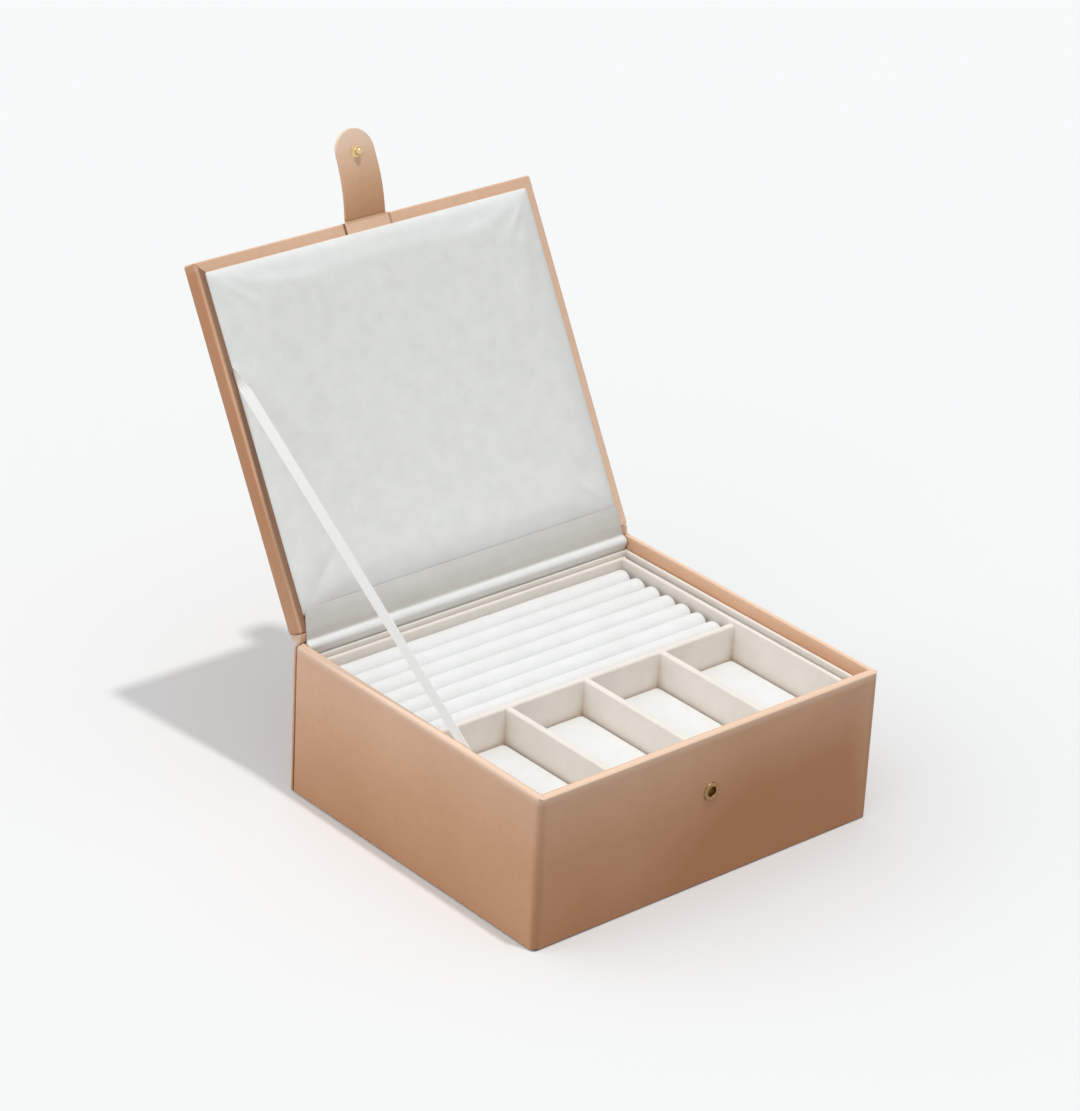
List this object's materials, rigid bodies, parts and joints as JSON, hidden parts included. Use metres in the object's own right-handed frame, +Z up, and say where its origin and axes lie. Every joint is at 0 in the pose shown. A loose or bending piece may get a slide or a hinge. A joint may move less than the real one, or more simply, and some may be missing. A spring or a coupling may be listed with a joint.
{
  "type": "jewelry box",
  "caption": "Open leather jewelry box with a hinged padded lid on a ribbon stay, a strap with a snap, and a lift-out tray of compartments and ring rolls.",
  "frame": {"origin": "centre of the box's underside, where it stands", "axes": "+Z up, +Y from the front with the snap to the hinge, +X to the right seen from the front"},
  "size_m": [0.2, 0.2694, 0.2724],
  "materials": {
    "leather": "satin, fine natural grain",
    "greyboard": "matt",
    "felt": "matt felt",
    "card": "matt",
    "brass": "polished",
    "ribbon": "satin ribbon",
    "white_lining": "matt, brushed",
    "cream_lining": "matt, brushed"
  },
  "bodies": {
    "box": {"back_board": "greyboard", "back_panel": "leather", "base_board": "greyboard", "base_cover": "felt", "floor_pad": "white_lining", "front_board": "greyboard", "hinge_leather": "leather", "hinge_lining": "white_lining", "left_board": "greyboard", "liner_back": "cream_lining", "liner_front": "cream_lining", "liner_left": "cream_lining", "liner_right": "cream_lining", "right_board": "greyboard", "side_wrap": "leather", "snap_socket": "brass", "socket_rivet": "brass", "stay_ribbon": "ribbon", "tray_ledge_left": "cream_lining", "tray_ledge_right": "cream_lining"},
    "lid": {"lid_board": "greyboard", "lid_leather": "leather", "lid_pad_card": "card", "lid_lining": "white_lining", "strap_tongue": "leather"},
    "strap": {"strap_face": "leather", "strap_lining": "leather", "snap_stud": "brass", "stud_cap": "brass"},
    "tray": {"compartment_pad_1": "white_lining", "compartment_pad_2": "white_lining", "compartment_pad_3": "white_lining", "compartment_pad_4": "white_lining", "long_divider": "cream_lining", "ring_roll_1": "white_lining", "ring_roll_2": "white_lining", "ring_roll_3": "white_lining", "ring_roll_4": "white_lining", "ring_roll_5": "white_lining", "ring_roll_6": "white_lining", "ring_roll_7": "white_lining", "short_divider_1": "cream_lining", "short_divider_2": "cream_lining", "short_divider_3": "cream_lining", "tray_base": "cream_lining", "tray_wall_back": "cream_lining", "tray_wall_front": "cream_lining", "tray_wall_left": "cream_lining", "tray_wall_right": "cream_lining"}
  },
  "joints": [
    {"name": "lid_hinge", "type": "hinge", "parent": "box", "child": "lid", "pos_m": [0, 0.0861, 0.0788], "axis": [1, 0, 0], "range_deg": [0, 119], "deforming": ["stay_ribbon", "hinge_leather", "hinge_lining"]},
    {"name": "strap_fold", "type": "hinge", "parent": "lid", "child": "strap", "pos_m": [0, 0.16934, 0.23309], "axis": [1, 0, 0], "range_deg": [-57, 78]},
    {"name": "tray_lift", "type": "slide", "parent": "box", "child": "tray", "axis": [0, 0, 1], "range_m": [0, 0.24]}
  ]
}
